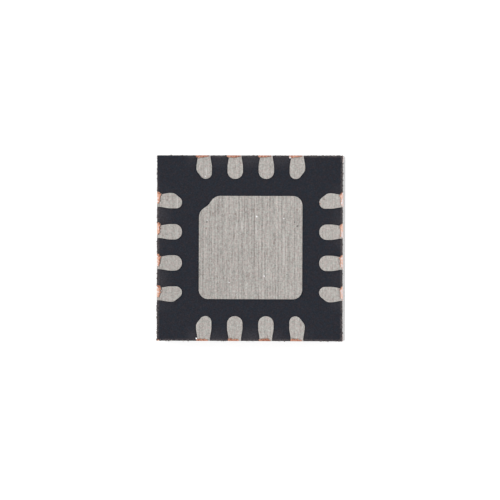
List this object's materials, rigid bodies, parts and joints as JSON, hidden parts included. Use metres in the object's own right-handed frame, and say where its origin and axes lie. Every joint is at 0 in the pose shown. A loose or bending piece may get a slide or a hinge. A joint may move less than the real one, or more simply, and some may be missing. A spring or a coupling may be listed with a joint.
{
  "type": "qfn chip",
  "caption": "Square leadless chip package lying on its marked face: black moulded block, flush tinned lands along all four edges and an exposed pad with an index notch.",
  "frame": {"origin": "centre of the marked face, which the chip lies on", "axes": "+Z out of the solder faces, +X and +Y along the sawn edges, the index corner at -X +Y"},
  "size_m": [0.003, 0.003, 0.0009],
  "materials": {
    "moulding_compound": "black epoxy moulding compound, fine matt grain",
    "tinned_copper": "copper lead frame with matt tin plating and fine rolling lines; bare copper where it was sawn",
    "silicon": "polished silicon",
    "silver_adhesive": "cured silver-filled epoxy",
    "gold_wire": "drawn gold wire"
  },
  "bodies": {
    "root": {"mould_body": "moulding_compound", "die_pad": "tinned_copper", "die": "silicon", "die_attach": "silver_adhesive", "lead_01": "tinned_copper", "lead_02": "tinned_copper", "lead_03": "tinned_copper", "lead_04": "tinned_copper", "lead_05": "tinned_copper", "lead_06": "tinned_copper", "lead_07": "tinned_copper", "lead_08": "tinned_copper", "lead_09": "tinned_copper", "lead_10": "tinned_copper", "lead_11": "tinned_copper", "lead_12": "tinned_copper", "lead_13": "tinned_copper", "lead_14": "tinned_copper", "lead_15": "tinned_copper", "lead_16": "tinned_copper", "bond_wire_01": "gold_wire", "bond_wire_02": "gold_wire", "bond_wire_03": "gold_wire", "bond_wire_04": "gold_wire", "bond_wire_05": "gold_wire", "bond_wire_06": "gold_wire", "bond_wire_07": "gold_wire", "bond_wire_08": "gold_wire", "bond_wire_09": "gold_wire", "bond_wire_10": "gold_wire", "bond_wire_11": "gold_wire", "bond_wire_12": "gold_wire", "bond_wire_13": "gold_wire", "bond_wire_14": "gold_wire", "bond_wire_15": "gold_wire", "bond_wire_16": "gold_wire"}
  },
  "joints": []
}
